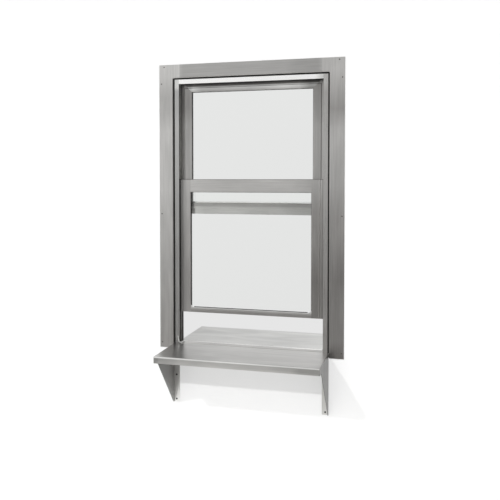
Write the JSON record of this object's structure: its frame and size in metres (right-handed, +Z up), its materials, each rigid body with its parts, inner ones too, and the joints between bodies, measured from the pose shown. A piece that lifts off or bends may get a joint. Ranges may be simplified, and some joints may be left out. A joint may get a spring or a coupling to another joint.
{
  "type": "pass-through hatch",
  "caption": "Stainless steel wall hatch: a framed window whose glazed lower sash slides up, with a bracketed counter shelf outside and a shelf inside.",
  "frame": {"origin": "middle of the trim head's back face, on the wall's outer face", "axes": "+X to the right seen from the customer's side, +Y through the wall into the room, +Z up"},
  "size_m": [0.722, 0.517, 1.316],
  "materials": {
    "stainless_steel": "brushed",
    "black_rubber": "matt",
    "nylon": "matt",
    "clear_glass": "polished"
  },
  "bodies": {
    "frame": {"backer_head": "black_rubber", "backer_left": "black_rubber", "backer_right": "black_rubber", "bracket_left": "stainless_steel", "bracket_right": "stainless_steel", "frame_head": "stainless_steel", "frame_sill": "stainless_steel", "inner_shelf": "stainless_steel", "jamb_left": "stainless_steel", "jamb_right": "stainless_steel", "lite_blocks_left": "nylon", "lite_blocks_right": "nylon", "lite_bottom_rail": "stainless_steel", "lite_gasket": "black_rubber", "lite_glass": "clear_glass", "lite_stile_left": "stainless_steel", "lite_stile_right": "stainless_steel", "lite_top_rail": "stainless_steel", "outer_shelf": "stainless_steel", "sill_stop": "stainless_steel", "trim_head": "stainless_steel", "trim_left": "stainless_steel", "trim_right": "stainless_steel"},
    "sash": {"sash_bottom_rail": "stainless_steel", "sash_gasket": "black_rubber", "sash_glass": "clear_glass", "sash_glides_left": "nylon", "sash_glides_right": "nylon", "sash_stile_left": "stainless_steel", "sash_stile_right": "stainless_steel", "sash_top_rail": "stainless_steel"}
  },
  "joints": [
    {"name": "sash_slide", "type": "slide", "parent": "frame", "child": "sash", "axis": [0, 0, 1], "range_m": [-0.115, 0.36]}
  ]
}
